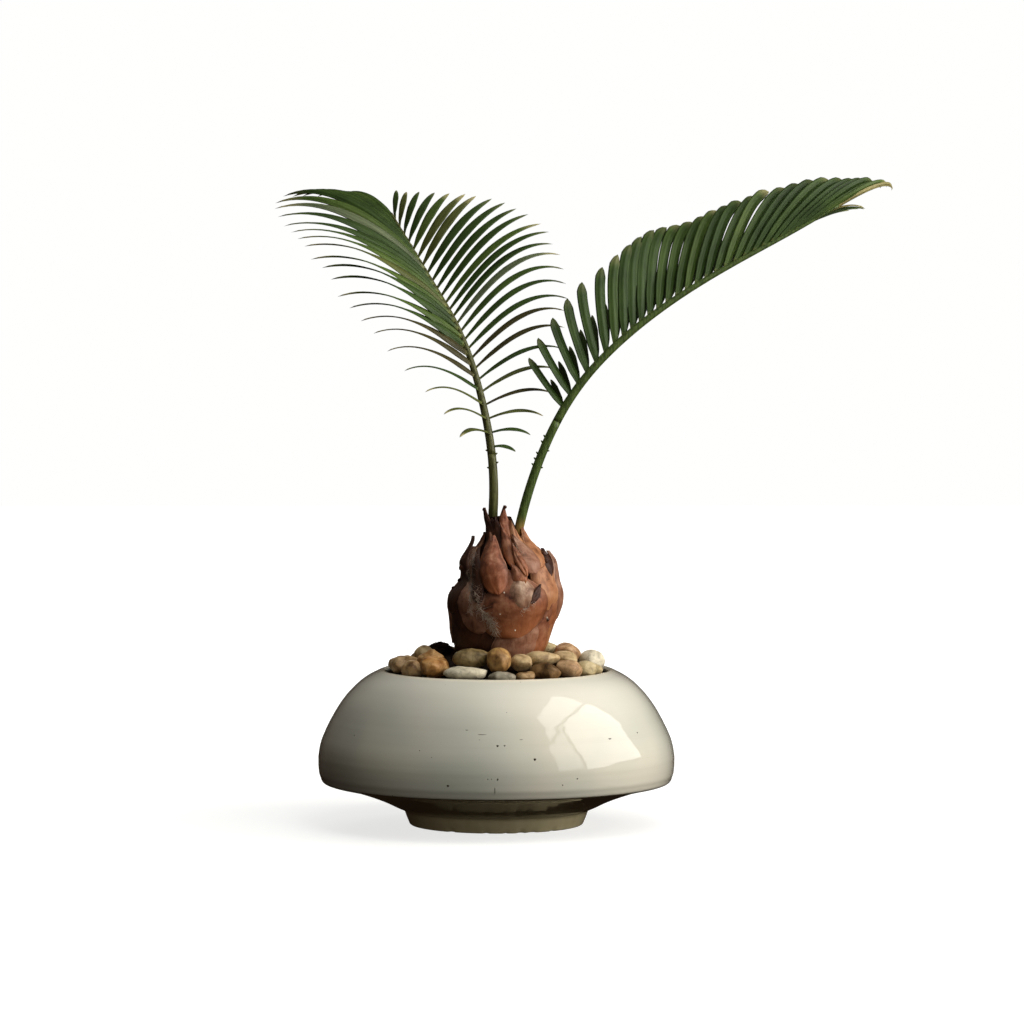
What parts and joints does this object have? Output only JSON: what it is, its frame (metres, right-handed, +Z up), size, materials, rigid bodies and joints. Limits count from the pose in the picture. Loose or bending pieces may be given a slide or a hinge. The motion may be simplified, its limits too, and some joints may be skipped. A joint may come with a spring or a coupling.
{
  "type": "potted sago palm",
  "caption": "Young sago palm with a scaly bulb-like trunk and two arching feather fronds, in a wide glazed bowl on a low foot, with pebbles over the soil.",
  "frame": {"origin": "middle of the flat underside of the bowl's foot, at the level that the pot stands on", "axes": "+Z up, X along the spread of the two fronds with the longer frond to +X, -Y the side that the palm is looked at from"},
  "size_m": [0.3889, 0.233, 0.3984],
  "materials": {
    "bowl_glaze": "glossy cream to grey-green glaze over stoneware, with small dark iron specks",
    "soil_dark": "damp dark potting soil, matt and crumbly",
    "trunk_scale": "reddish brown papery scale leaves with patches of pale wool",
    "frond_stalk": "smooth olive-green stalk, tan at its foot, half matt",
    "frond_blade": "leathery dark green leaflets with a soft waxy gloss",
    "pebble_tan": "smooth tan river pebble",
    "pebble_ochre": "smooth ochre river pebble with rusty veins",
    "pebble_olive": "smooth olive-brown river pebble",
    "pebble_brown": "smooth mottled brown river pebble",
    "pebble_sand": "smooth sand-coloured river pebble",
    "pebble_umber": "smooth dark brown river pebble",
    "pebble_rose": "smooth pinkish beige river pebble",
    "pebble_cream": "smooth cream river pebble",
    "pebble_pale": "smooth off-white river pebble",
    "pebble_grey": "smooth grey river pebble"
  },
  "bodies": {
    "root": {"caudex": "trunk_scale", "left_blade": "frond_blade", "left_stalk": "frond_stalk", "pebble_00": "pebble_tan", "pebble_01": "pebble_ochre", "pebble_02": "pebble_tan", "pebble_03": "pebble_ochre", "pebble_04": "pebble_pale", "pebble_05": "pebble_grey", "pebble_06": "pebble_olive", "pebble_07": "pebble_brown", "pebble_08": "pebble_sand", "pebble_09": "pebble_tan", "pebble_10": "pebble_sand", "pebble_11": "pebble_umber", "pebble_12": "pebble_rose", "pebble_13": "pebble_sand", "pebble_14": "pebble_cream", "pebble_15": "pebble_cream", "pebble_16": "pebble_pale", "pebble_17": "pebble_olive", "pebble_18": "pebble_grey", "pebble_19": "pebble_rose", "pebble_20": "pebble_olive", "pebble_21": "pebble_olive", "pebble_22": "pebble_brown", "pebble_23": "pebble_rose", "pebble_24": "pebble_ochre", "pebble_25": "pebble_umber", "pebble_26": "pebble_olive", "pebble_27": "pebble_tan", "pebble_28": "pebble_rose", "pebble_29": "pebble_olive", "pebble_30": "pebble_cream", "pebble_31": "pebble_ochre", "pebble_32": "pebble_rose", "pebble_33": "pebble_olive", "pebble_34": "pebble_umber", "pebble_35": "pebble_sand", "pot": "bowl_glaze", "right_blade": "frond_blade", "right_stalk": "frond_stalk", "soil": "soil_dark"}
  },
  "joints": []
}
